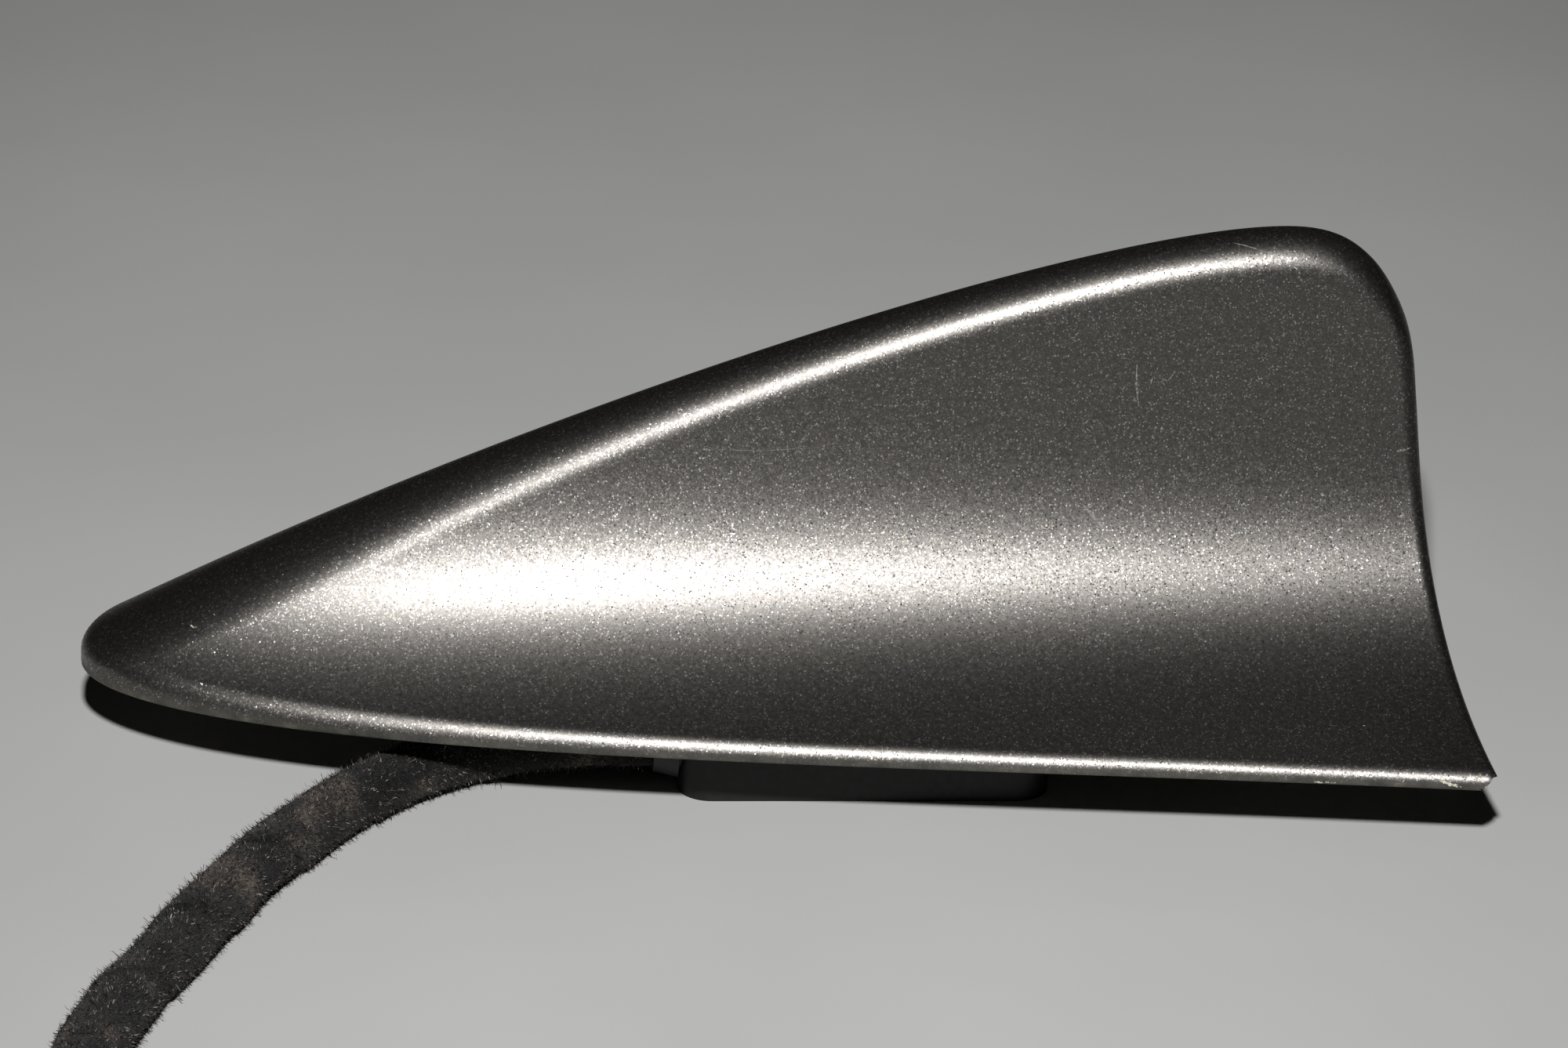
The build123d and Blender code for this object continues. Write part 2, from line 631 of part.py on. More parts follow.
def make_plug(name):
    """Moulded plug housing with a round mouth and its own coding keys."""
    x, y, z = TAIL_ROUTES[name][-1]
    half = PLUG_SIDE / 2
    housing = block(x, x + PLUG_LENGTH, y - half, y + half, z - half, z + half)
    housing = housing.fillet(PLUG_CORNER, housing.edges().filter_by(Axis.X))
    for side in PLUG_KEYS[name]:
        key = (x + PLUG_LENGTH - PLUG_KEY_LONG, x + PLUG_LENGTH, y + side - PLUG_KEY_WIDE / 2)
        housing = housing + block(*key, y + side + PLUG_KEY_WIDE / 2, z, z + half + PLUG_KEY_HIGH)
    return housing - bar(x + PLUG_LENGTH - PLUG_BORE_DEEP, x + PLUG_LENGTH, y, z, PLUG_BORE)


def plug_contacts(long, radius, bore):
    """One metal contact at the bottom of each plug's mouth."""
    contacts = []
    for route in TAIL_ROUTES.values():
        x, y, z = route[-1]
        floor = x + PLUG_LENGTH - PLUG_BORE_DEEP
        contact = bar(floor, floor + long, y, z, radius)
        if bore:
            contact = contact - bar(floor, floor + long, y, z, bore)
        contacts.append(contact)
    return Compound(contacts)


pieces = {
    "fin_cover": make_fin_cover(),
    "base_plate": make_base_plate(),
    "roof_seal": make_roof_seal(),
    "cover_screws": make_cover_screws(),
    "main_board": make_main_board(),
    "board_screws": make_board_screws(),
    "shield_can": make_shield_can(),
    "patch_ceramic": make_patch_ceramic(),
    "patch_pin": make_patch_pin(),
    "phone_element": make_phone_element(),
    "element_holder": make_element_holder(),
    "contact_spring": make_contact_spring(),
    "coax_ferrules": make_coax_ferrules(),
    "inner_leads": make_inner_leads(),
    "cable_grommet": make_cable_grommet(),
    "cable_run": tube("cable_run", CABLE_ROUTE, CABLE_DIAMETER),
    "plug_sleeves": plug_contacts(SLEEVE_LONG, SLEEVE_RADIUS, SLEEVE_BORE),
    "plug_pins": plug_contacts(PIN_LONG, PIN_RADIUS, 0),
}
for lead, route in TAIL_ROUTES.items():
    pieces[f"{lead}_lead"] = tube(f"{lead}_lead", route, TAIL_DIAMETER)
    pieces[f"{lead}_plug"] = make_plug(lead)

os.makedirs("parts", exist_ok=True)
for name, piece in pieces.items():
    export_step(piece, f"parts/{name}.step")
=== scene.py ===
import math

import bpy
import numpy as np
from mathutils import Matrix, Vector


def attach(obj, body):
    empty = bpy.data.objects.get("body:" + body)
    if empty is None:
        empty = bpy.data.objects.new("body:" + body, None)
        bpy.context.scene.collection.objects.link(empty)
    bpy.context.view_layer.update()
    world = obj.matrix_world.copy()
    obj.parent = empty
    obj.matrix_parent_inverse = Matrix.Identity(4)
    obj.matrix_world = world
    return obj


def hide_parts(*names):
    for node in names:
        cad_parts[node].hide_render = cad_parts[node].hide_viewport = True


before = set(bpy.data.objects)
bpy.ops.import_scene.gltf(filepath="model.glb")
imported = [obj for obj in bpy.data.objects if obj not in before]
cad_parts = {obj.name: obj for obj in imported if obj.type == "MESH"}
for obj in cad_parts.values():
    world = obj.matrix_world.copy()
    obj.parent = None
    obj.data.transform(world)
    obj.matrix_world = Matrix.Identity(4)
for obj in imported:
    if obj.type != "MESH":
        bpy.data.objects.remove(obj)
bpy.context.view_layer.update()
MM = 0.001


# Fin cover
# A thin moulded ABS shell in the shape of a shark fin, painted dark metallic grey to match a car.
# Its flanks flare from a slim blade to a wide rim, and the lower rear corner has broken off.
# Sizes are in mm: back counts from the nose, x from the fixing thread's axis, and z from the roof.
FIN_LENGTH = 167.0
FIN_WIDTH = 72.8
NOSE_AHEAD = 93.0
TAIL_X = FIN_LENGTH - NOSE_AHEAD
NOSE_RADIUS = 8.7
CREST_HEIGHT = 57.6
CREST_BACK = FIN_LENGTH - 23.0
RIDGE_CURVE = [(-4.0, 1.5), (41.0, 29.0), (CREST_BACK - 25.0, CREST_HEIGHT), (CREST_BACK, CREST_HEIGHT)]
TAIL_CURVE = [
    (CREST_BACK, CREST_HEIGHT),
    (CREST_BACK + 12.0, CREST_HEIGHT),
    (CREST_BACK + 13.5, CREST_HEIGHT - 7.6),
    (CREST_BACK + 33.0, CREST_HEIGHT - 45.6),
]
RIDGE_STEPS = 400
TAIL_STEPS = 200
# How far the trailing edge lies ahead of the tail's end, and at which height
TRAILING_EDGE = [(13.8, 60.0), (8.2, 46.0), (6.8, 34.4), (6.0, 26.0), (5.0, 18.4), (3.9, 9.7), (2.7, -3.0)]
REAR_HOLLOW = 170.0
RIM_GAP = 0.5
LIP_TOP = RIM_GAP + 1.9
EDGE_ROUND = 1.4
BOTTOM_ROUND = 0.35
# Radius along the trailing edge, by height
TAIL_ROUND = [(2.0, EDGE_ROUND), (20.0, 1.6), (45.0, 2.4)]
FLARE_FRONT = 12.0
FLARE_TAIL = 8.5
FLARE_FADE = 22.0
BLADE_HALF = 4.8
DRAFT_FRONT = math.radians(7.0)
DRAFT_TAIL = math.radians(0.3)
LEAD_IN = 4.0
COVER_WALL = 2.4
RIM_LAND = 3.4
NOSE_SOLID = 14.0
HALVINGS = 40


def bezier(points, steps):
    """Points along a cubic curve with four control points."""
    share = np.linspace(0, 1, steps)[:, None]
    rest = 1 - share
    a, b, c, d = (np.array(point) for point in points)
    return a * rest**3 + 3 * b * share * rest**2 + 3 * c * share**2 * rest + d * share**3


ridge_line = np.vstack([bezier(RIDGE_CURVE, RIDGE_STEPS), bezier(TAIL_CURVE, TAIL_STEPS)[1:]])


def plan_half(back):
    """Half the rim's width at a distance behind the nose."""
    share = np.maximum(back, 0) / FIN_LENGTH
    fullness = math.sqrt(2 * NOSE_RADIUS * FIN_LENGTH) - FIN_WIDTH / 2
    return np.sqrt(share) * (FIN_WIDTH / 2 + fullness * (1 - share)**2)


def flank(back, z):
    """Half the fin's width at a distance behind the nose and a height, and how it changes with height."""
    wide = plan_half(back + LEAD_IN)
    fill = wide / (wide + LEAD_IN)
    share = back / FIN_LENGTH
    height = np.interp(back, ridge_line[:, 0], ridge_line[:, 1])
    flare = FLARE_FRONT + share * (FLARE_TAIL - FLARE_FRONT)
    flare = flare * (1 - np.exp(-(back + LEAD_IN) / FLARE_FADE))
    draft = fill * np.tan(DRAFT_FRONT + share * (DRAFT_TAIL - DRAFT_FRONT))
    blade = fill * BLADE_HALF + draft * (height - z)
    foot = fill * BLADE_HALF + draft * (height - LIP_TOP)
    spread = (wide - foot) * np.exp(-(z - LIP_TOP) / flare)
    return blade + spread, -draft - spread / flare


def halve(rising, low, high):
    """Where a rising function crosses nought between two bounds."""
    for _ in range(HALVINGS):
        middle = (low + high) / 2
        below = rising(middle) < 0
        low, high = np.where(below, middle, low), np.where(below, high, middle)
    return (low + high) / 2


# The crest is an arc at each station that runs on from both flanks without a corner
SKIN_FROM = -3.6
SKIN_TO = 177.0
SKIN_STATIONS = 900
stations = np.linspace(SKIN_FROM, SKIN_TO, SKIN_STATIONS)
crest = np.interp(stations, ridge_line[:, 0], ridge_line[:, 1])


def arc_top(z):
    """How far an arc that leaves the flanks at a height stands above the crest."""
    half, slope = flank(stations, z)
    lean = np.arctan(-slope)
    return z + half / np.cos(lean) * (1 - np.sin(lean)) - crest


arc_joint = halve(arc_top, crest - CREST_HEIGHT / 2, crest)
joint_half, joint_slope = flank(stations, arc_joint)
arc_radius = joint_half / np.cos(np.arctan(-joint_slope))

# The rim's outline is kept as distances back for each half width, and runs on a little past the tail
PLAN_OVERRUN = 1.04
PLAN_STATIONS = 3000
plan_back = np.linspace(0, PLAN_OVERRUN, PLAN_STATIONS)**2 * FIN_LENGTH
plan_wide = plan_half(plan_back)
plan_slope = np.gradient(plan_back, plan_wide)
TRAILING_DEGREE = 4
tail_points = np.array(TRAILING_EDGE)[::-1]
tail_ahead = np.poly1d(np.polyfit(tail_points[:, 1], tail_points[:, 0], TRAILING_DEGREE))


def rounded_max(one, two, radius):
    """The larger of two distances, with the edge between their surfaces rounded."""
    corner = np.hypot(np.maximum(one + radius, 0), np.maximum(two + radius, 0))
    return np.minimum(np.maximum(one, two), -radius) + corner


def skin_distance(x, y, z):
    """How far a point lies outside the flanks and the crest."""
    back = np.clip(x + NOSE_AHEAD, stations[0], stations[-1])
    half, slope = flank(back, z)
    beside = (np.abs(y) - half) * np.cos(np.arctan(slope))
    radius = np.interp(back, stations, arc_radius)
    above = np.hypot(y, z - np.interp(back, stations, crest) + radius) - radius
    return np.where(z > np.interp(back, stations, arc_joint), above, beside)


def plan_distance(x, y):
    """How far a point lies outside the rim's outline, seen from above."""
    slope = np.interp(np.abs(y), plan_wide, plan_slope)
    over = np.maximum(np.abs(y) - plan_wide[-1], 0) * slope
    return (np.interp(np.abs(y), plan_wide, plan_back) + over - x - NOSE_AHEAD) / np.hypot(1, slope)


def rear_distance(x, y, z):
    """How far a point lies behind the hollow rear face."""
    ahead_of_tail = tail_ahead(np.clip(z, tail_points[0, 1], tail_points[-1, 1]))
    return x - TAIL_X - REAR_HOLLOW + np.sqrt((REAR_HOLLOW + ahead_of_tail)**2 - y**2)


BREAK_AT = (73.4, -36.5, 1.7)
BREAK_FACING = (0.72, -0.2, -0.66)
BREAK_SIDE = -20.0
UNBROKEN = -50.0
COARSE_RAGS = 0.30
MIDDLE_RAGS = 0.14
FINE_RAGS = 0.08


def break_distance(x, y, z):
    """How far a point lies beyond the ragged break at the left rear corner."""
    away = sum(n * (p - c) for n, p, c in zip(BREAK_FACING, (x, y, z), BREAK_AT))
    ragged = COARSE_RAGS * np.sin(2.3 * y + 1.0) * np.sin(1.9 * z)
    ragged = ragged + MIDDLE_RAGS * np.sin(6.1 * y + 2.7 * z)
    ragged = ragged + FINE_RAGS * np.sin(13 * z + 5 * x)
    return np.where(y < BREAK_SIDE, away + ragged, UNBROKEN)


def fin_outside(x, y, z):
    """How far a point lies outside the cover's outer skin."""
    solid = rounded_max(plan_distance(x, y), skin_distance(x, y, z), EDGE_ROUND)
    solid = rounded_max(solid, rear_distance(x, y, z), np.interp(z, *zip(*TAIL_ROUND)))
    solid = rounded_max(solid, RIM_GAP - z, BOTTOM_ROUND)
    return np.maximum(solid, break_distance(x, y, z))


def fin_inside(x, y, z):
    """How far a point lies outside the cover's hollow."""
    hollow = np.maximum(skin_distance(x, y, z) + COVER_WALL, plan_distance(x, y) + RIM_LAND)
    return np.maximum(hollow, np.maximum(rear_distance(x, y, z) + COVER_WALL, NOSE_SOLID - NOSE_AHEAD - x))


# Both skins are cast from a spine along the rim's plane: a fan at the nose, slices, and a fan at the tail
SPINE = (20.0, 150.0)
RAY_REACH = 90.0
BEND_WEIGHT = 1.5
EDGE_BAND = 2.8
NOSE_ROWS = 49
BODY_ROWS = 130
FLANK_ROWS = 40
EDGE_ROWS = 24
REAR_ROWS = 30
TAIL_ROWS = FLANK_ROWS + EDGE_ROWS + REAR_ROWS
OUTER_RAYS = 900
OUTER_COLUMNS = 281
INNER_RAYS = 200
INNER_COLUMNS = 41
SHARP_ANGLE = math.radians(50)


def cast(distance, back, lean, turn):
    """Where rays from the spine leave a solid, at leans towards the tail and turns about the spine."""
    dx = np.sin(lean) + 0 * turn
    dy = np.cos(lean) * np.cos(turn)
    dz = np.cos(lean) * np.sin(turn)
    start = back - NOSE_AHEAD + 0 * dx
    reach = halve(lambda t: distance(start + t * dx, t * dy, RIM_GAP + t * dz), 0 * dx, 0 * dx + RAY_REACH)
    return np.stack([start + reach * dx, reach * dy, RIM_GAP + reach * dz], axis=-1)


def spread_row(row, columns):
    """A row of points spread evenly by length, and closer where the row bends."""
    step = np.diff(row, axis=0)
    length = np.linalg.norm(step, axis=1)
    unit = step / np.maximum(length, 1e-9)[:, None]
    bend = np.arccos(np.clip((unit[1:] * unit[:-1]).sum(1), -1, 1))
    measure = np.concatenate([[0], np.cumsum(length + BEND_WEIGHT * np.concatenate([bend, [0]]))])
    wanted = np.linspace(0, measure[-1], columns)
    return np.stack([np.interp(wanted, measure, row[:, i]) for i in range(3)], axis=1)


def edge_leans(turn):
    """Leans of the tail's rows: over the flank to the trailing edge, round it, and over the rear face."""
    def past_edge(lean):
        x, y, z = cast(fin_outside, SPINE[1], lean, turn).T
        return rear_distance(x, y, z) - np.maximum(skin_distance(x, y, z), plan_distance(x, y))

    edge = halve(past_edge, 0 * turn, 0 * turn + math.pi / 2)
    reach = cast(fin_outside, SPINE[1], edge, turn) - (SPINE[1] - NOSE_AHEAD, 0, RIM_GAP)
    band = EDGE_BAND / np.linalg.norm(reach, axis=1)
    over = np.linspace(0, 1, FLANK_ROWS + 1)[1:, None] * (edge - band)
    round_edge = edge + np.linspace(-1, 1, EDGE_ROWS + 1)[1:, None] * band
    behind = edge + band + np.linspace(0, 1, REAR_ROWS + 1)[1:, None] * (math.pi / 2 - edge - band)
    return np.concatenate([over, round_edge, behind])


def even_leans(turn):
    """Leans of the tail's rows in even steps, for the hollow."""
    return np.linspace(0, math.pi / 2, TAIL_ROWS + 1)[1:, None] + 0 * turn


def fin_rows(distance, rays, columns, tail_leans):
    """Points of a skin: the pole at the nose, rows from nose to tail, and the pole at the tail."""
    lean = np.radians(np.concatenate([np.linspace(-90, 0, NOSE_ROWS + 1)[:-1], np.zeros(BODY_ROWS)]))
    back = np.concatenate([np.full(NOSE_ROWS, SPINE[0]), np.linspace(*SPINE, BODY_ROWS)])
    front = cast(distance, back[:, None], lean[:, None], np.linspace(0, math.pi, rays)[None, :])
    rows = np.array([spread_row(row, columns) for row in front[1:]])
    turn = np.arctan2(rows[-1, :, 2] - RIM_GAP, rows[-1, :, 1])
    rear = cast(distance, SPINE[1], tail_leans(turn), turn[None, :])
    return front[0, 0], np.concatenate([rows, rear[:-1]]), rear[-1, 0]


def skin_faces(rows, columns, first, flip):
    """Faces of a cast skin whose two poles come first and last in its points, and its two borders."""
    faces = []
    last = first + 1 + rows * columns
    grid = first + 1 + np.arange(rows * columns).reshape(rows, columns)
    for j in range(columns - 1):
        faces.append((first, grid[0, j + 1], grid[0, j]))
        faces.append((grid[-1, j], grid[-1, j + 1], last))
    for i in range(rows - 1):
        for j in range(columns - 1):
            faces.append((grid[i, j], grid[i, j + 1], grid[i + 1, j + 1], grid[i + 1, j]))
    borders = [[first, *grid[:, j], last] for j in (0, -1)]
    return [face[::-1] if flip else face for face in faces], borders


def mesh_piece(name, points, faces):
    """A smooth piece of the object from points in mm."""
    mesh = bpy.data.meshes.new(name)
    mesh.from_pydata([tuple(MM * p for p in point) for point in points], [], faces)
    mesh.validate()
    mesh.update()
    piece = bpy.data.objects.new(name, mesh)
    bpy.context.scene.collection.objects.link(piece)
    mesh.shade_smooth()
    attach(piece, "root")
    return piece


nose, outer_rows, tail = fin_rows(fin_outside, OUTER_RAYS, OUTER_COLUMNS, edge_leans)
inner_nose, inner_rows, inner_tail = fin_rows(fin_inside, INNER_RAYS, INNER_COLUMNS, even_leans)
outer_faces, outer_borders = skin_faces(len(outer_rows), OUTER_COLUMNS, 0, False)
inner_first = 2 + len(outer_rows) * OUTER_COLUMNS
inner_faces, inner_borders = skin_faces(len(inner_rows), INNER_COLUMNS, inner_first, True)
rim_faces = []
for outer, inner, flip in zip(outer_borders, inner_borders, (True, False)):
    for i in range(len(outer) - 1):
        quad = (outer[i], outer[i + 1], inner[i + 1], inner[i])
        rim_faces.append(quad[::-1] if flip else quad)
fin_points = [nose, *outer_rows.reshape(-1, 3), tail, inner_nose, *inner_rows.reshape(-1, 3), inner_tail]
fin = mesh_piece("fin_shell", fin_points, outer_faces + inner_faces + rim_faces)
fin.data.set_sharp_from_angle(angle=SHARP_ANGLE)
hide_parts("fin_cover")


def linear(hex_colour):
    """An sRGB hex colour as linear red, green, blue and alpha."""
    shares = [int(hex_colour[i:i + 2], 16) / 255 for i in (1, 3, 5)]
    return [s / 12.92 if s <= 0.04045 else ((s + 0.055) / 1.055)**2.4 for s in shares] + [1.0]


def add_node(material, kind, settings, links=()):
    """Adds a shader node: settings are sockets or attributes, and links are (socket, node, output)."""
    made = material.node_tree.nodes.new("ShaderNode" + kind)
    for name, value in settings.items():
        if name == "stops":
            stops = made.color_ramp.elements
            while len(stops) < len(value):
                stops.new(1.0)
            for stop, (place, colour) in zip(stops, value):
                stop.position = place
                stop.color = linear(colour) if isinstance(colour, str) else [colour] * 3 + [1.0]
        elif isinstance(name, int) or name in made.inputs:
            made.inputs[name].default_value = value
        else:
            setattr(made, name, value)
    for socket, source, output in links:
        material.node_tree.links.new(source.outputs[output], made.inputs[socket])
    return made


def texture(material, kind, size, **settings):
    """Noise or cells with grains of a size in mm, in the piece's own space."""
    place = add_node(material, "TexCoord", {})
    return add_node(material, kind, {"Scale": 1 / (size * MM), **settings}, [("Vector", place, "Object")])


def ramp(material, stops, source, output=0):
    """Colours or plain values that follow a node's output."""
    return add_node(material, "ValToRGB", {"stops": stops}, [("Fac", source, output)])


def new_material(name):
    """An empty node material."""
    material = bpy.data.materials.new(name)
    material.use_nodes = True
    material.node_tree.nodes.clear()
    return material


def close_material(material, surface):
    """The material with its last shader led to the output."""
    add_node(material, "OutputMaterial", {}, [("Surface", surface, 0)])
    return material


# Metallic car paint: aluminium flakes lie flat in a dark lacquer, so it is bright where it mirrors the
# lamp and nearly black elsewhere, with single flakes glinting. They are drawn large enough to show.
FLAKE_SIZE = 0.16
PAINT_GRAIN = 0.5
FLAKE_TILTS = [(0.0, 0.03), (0.80, 0.06), (0.95, 0.14), (1.0, 0.45)]
FLAKE_COLOURS = [(0.0, "#5a5855"), (0.60, "#625f5c"), (0.90, "#736f6b"), (0.97, "#9a948b"), (1.0, "#b4b6be")]
flake_paint = new_material("metallic_grey_car_paint")
flakes = texture(flake_paint, "TexVoronoi", FLAKE_SIZE)
flake_draw = add_node(flake_paint, "SeparateColor", {}, [("Color", flakes, "Color")])
sides = add_node(
    flake_paint, "VectorMath", {"operation": "SUBTRACT", 1: (0.5, 0.5, 0.5)}, [(0, flakes, "Color")])
amount = ramp(flake_paint, FLAKE_TILTS, flake_draw, 0)
tilt = add_node(flake_paint, "VectorMath", {"operation": "MULTIPLY"}, [(0, sides, 0), (1, amount, 0)])
surface = add_node(flake_paint, "NewGeometry", {})
leaning = add_node(flake_paint, "VectorMath", {"operation": "ADD"}, [(0, surface, "Normal"), (1, tilt, 0)])
normal = add_node(flake_paint, "VectorMath", {"operation": "NORMALIZE"}, [(0, leaning, 0)])
colours = ramp(flake_paint, FLAKE_COLOURS, flake_draw, 1)
grains = texture(flake_paint, "TexNoise", PAINT_GRAIN, Detail=2.0)
gloss = ramp(flake_paint, [(0.3, 0.36), (0.7, 0.44)], grains)
paint = add_node(
    flake_paint, "BsdfPrincipled", {"Metallic": 0.97, "Coat Weight": 0.08, "Coat Roughness": 0.35},
    [("Base Color", colours, 0), ("Roughness", gloss, 0), ("Normal", normal, 0)])

# The lip under the rim has only thin overspray, so bare greenish-grey plastic shows there, dull and patchy
LIP_PAINT = 1.75
LIP_FADE = 0.35
LIP_BARE = 0.75
PATCH_HEIGHT = 0.9
PATCH_SIZE = 2.5
patches = texture(flake_paint, "TexNoise", PATCH_SIZE, Detail=6.0)
place = add_node(flake_paint, "TexCoord", {})
level = add_node(flake_paint, "SeparateXYZ", {}, [("Vector", place, "Object")])
uneven = add_node(
    flake_paint, "Math", {"operation": "MULTIPLY_ADD", 1: PATCH_HEIGHT * MM},
    [(0, patches, 0), (2, level, 2)])
fade = {1: LIP_PAINT * MM, 2: LIP_PAINT * MM + LIP_FADE * MM, 3: LIP_BARE, 4: 0.0}
thin = add_node(flake_paint, "MapRange", fade, [(0, uneven, 0)])
dull = ramp(flake_paint, [(0.35, "#23231f"), (0.6, "#3d3c33"), (0.8, "#5e5a48")], patches)
bare = add_node(flake_paint, "BsdfPrincipled", {"Roughness": 0.62}, [("Base Color", dull, 0)])
both = add_node(flake_paint, "MixShader", {}, [(0, thin, 0), (1, paint, 0), (2, bare, 0)])
fin.data.materials.append(close_material(flake_paint, both))


# Wear on the fin
# Scuffs and scratches in the paint, pale and dull, and chips along the lip and at the broken corner.
# Each is a thin strip of surface that lies on the cover, with a width and a path of x and height.
SCUFFS = [
    (0.16, [(43.7, 56.6), (45.5, 56.4), (47.6, 56.0)]),
    (0.60, [(26.8, 25.0), (28.5, 23.2), (30.3, 20.8)]),
    (0.30, [(32.8, 42.1), (32.8, 39.6), (33.2, 37.1)]),
    (0.16, [(34.4, 39.1), (34.8, 40.6), (35.4, 41.8)]),
    (0.14, [(35.7, 40.4), (36.6, 40.0), (37.3, 41.0)]),
    (0.32, [(64.6, 31.1), (65.7, 31.3), (66.3, 31.5)]),
    (0.09, [(-19.0, 31.3), (-12.0, 31.2), (-5.4, 31.6)]),
    (0.30, [(59.3, 5.0), (59.6, 5.0)]),
]
CHIPS = [
    (0.50, [(-79.8, 8.9), (-79.4, 8.8), (-79.0, 8.9)]),
    (0.35, [(52.8, 0.9), (55.4, 0.9)]),
    (0.55, [(67.5, 1.7), (68.9, 1.3), (70.2, 1.0)]),
    (0.70, [(71.6, 1.9), (72.4, 2.3), (72.9, 2.7)]),
]
WEAR = {"paint_scuffs": (SCUFFS, "#6a6864", "#8c8a86"), "paint_chips": (CHIPS, "#7d7962", "#c9c5b4")}
WEAR_SEED = 3
MARK_STEP = 0.12
MARK_FEWEST = 4
MARK_LIFT = 0.03
MARK_RAGGED = (0.35, 1.0)
FLANK_SEARCH = 45.0
SLOPE_STEP = 0.05
GRIT_SIZE = 0.35


def flank_point(x, z):
    """A place on the left flank at a length and a height, and the way it faces, in mm."""
    y = -halve(lambda t: fin_outside(x, -t, z), np.array(0.0), np.array(FLANK_SEARCH))
    spot = np.array([x, y, z], float)
    steps = SLOPE_STEP * np.eye(3)
    way = np.array([fin_outside(*(spot + step)) - fin_outside(*(spot - step)) for step in steps])
    return spot, way / np.linalg.norm(way)


def mark(points, faces, path, width, draws):
    """Adds a ragged strip along a path of lengths and heights on the left flank."""
    path = np.array(path)
    run = np.concatenate([[0], np.cumsum(np.linalg.norm(np.diff(path, axis=0), axis=1))])
    steps = max(int(run[-1] / MARK_STEP), MARK_FEWEST)
    way = np.array([np.gradient(path[:, 0]).mean(), 0, np.gradient(path[:, 1]).mean()])
    first = len(points)
    for i, reached in enumerate(np.linspace(0, run[-1], steps)):
        x, z = (np.interp(reached, run, path[:, k]) for k in (0, 1))
        spot, facing = flank_point(x, z)
        over = np.cross(facing, way)
        over *= width / 2 * math.sin(math.pi * (i + 0.5) / steps)**0.5 / np.linalg.norm(over)
        for sign in (-1, 1):
            points.append(spot + sign * over * draws.uniform(*MARK_RAGGED) + MARK_LIFT * facing)
        if i:
            faces.append((first + 2 * i - 2, first + 2 * i - 1, first + 2 * i + 1, first + 2 * i))


wear_draws = np.random.default_rng(WEAR_SEED)
for name, (marks, dark, light) in WEAR.items():
    points, faces = [], []
    for width, path in marks:
        mark(points, faces, path, width, wear_draws)
    piece = mesh_piece(name, points, faces)
    # Scraped lacquer or plastic: dull, gritty, and see-through in places where the paint has held
    scraped = new_material(name)
    grit = texture(scraped, "TexNoise", GRIT_SIZE, Detail=4.0)
    tone = ramp(scraped, [(0.35, dark), (0.65, light)], grit)
    rubbed = add_node(scraped, "BsdfPrincipled", {"Roughness": 0.7}, [("Base Color", tone, 0)])
    clear = add_node(scraped, "BsdfTransparent", {})
    cover = add_node(scraped, "MapRange", {1: 0.36, 2: 0.50, 3: 0.0, 4: 0.85}, [(0, grit, 0)])
    broken = add_node(scraped, "MixShader", {}, [(0, cover, 0), (1, clear, 0), (2, rubbed, 0)])
    piece.data.materials.append(close_material(scraped, broken))


# Die-cast base and foot
# One zinc casting that carries everything: it passes through the roof and takes the fixing bolt.
# It is drawn dull and near black as painted shade, because it stands in the fin's shadow, over the grain
# that the mould leaves.
CASTING_GRAIN = 0.8
CASTING_RELIEF = 0.05
zinc = new_material("die_cast_zinc_dark_as_shade")
grain = texture(zinc, "TexNoise", CASTING_GRAIN, Detail=6.0)
# The two near-black tones are painted shade for the shadow under the fin
tone = ramp(zinc, [(0.3, "#121212"), (0.7, "#191918")], grain)
rough = ramp(zinc, [(0.3, 0.42), (0.7, 0.58)], grain)
bump = add_node(zinc, "Bump", {"Strength": 0.35, "Distance": CASTING_RELIEF * MM}, [("Height", grain, 0)])
casting_in_shade = add_node(
    zinc, "BsdfPrincipled", {"Specular IOR Level": 0.25},
    [("Base Color", tone, 0), ("Roughness", rough, 0), ("Normal", bump, 0)])


def dress(material, *names):
    """Gives CAD nodes a material."""
    for name in names:
        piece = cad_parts[name]
        piece.data.materials.clear()
        piece.data.materials.append(material)


dress(close_material(zinc, casting_in_shade), "base_plate")


# Roof seal and cable grommet
# Black EPDM rubber, moulded: matt, with a bloom that greys it a little in patches.
BLOOM_SIZE = 6.0
RUBBER_GRAIN = 0.3
RUBBER_RELIEF = 0.04
rubber = new_material("moulded_rubber")
bloom = texture(rubber, "TexNoise", BLOOM_SIZE, Detail=8.0)
tone = ramp(rubber, [(0.35, "#1b1b1c"), (0.75, "#2d2d2c")], bloom)
grain = texture(rubber, "TexNoise", RUBBER_GRAIN)
bump = add_node(rubber, "Bump", {"Strength": 0.4, "Distance": RUBBER_RELIEF * MM}, [("Height", grain, 0)])
matt = add_node(
    rubber, "BsdfPrincipled", {"Roughness": 0.72, "IOR": 1.52},
    [("Base Color", tone, 0), ("Normal", bump, 0)])
dress(close_material(rubber, matt), "roof_seal", "cable_grommet")


# Screws, can, ferrules, spring and contacts
# Small metal parts: zinc-plated steel screws, a drawn tin-plate can, and plated brass contacts.
GLOSS_RANGE = 0.07


def metal(name, dark, light, roughness, scratch):
    """A worn plated metal: two tones, and a roughness that varies along fine marks of a size in mm."""
    plated = new_material(name)
    scratches = texture(plated, "TexNoise", scratch, Detail=5.0, Distortion=0.6)
    tone = ramp(plated, [(0.3, dark), (0.7, light)], scratches)
    rough = ramp(plated, [(0.3, roughness - GLOSS_RANGE), (0.7, roughness + GLOSS_RANGE)], scratches)
    shine = add_node(
        plated, "BsdfPrincipled", {"Metallic": 1.0}, [("Base Color", tone, 0), ("Roughness", rough, 0)])
    return close_material(plated, shine)


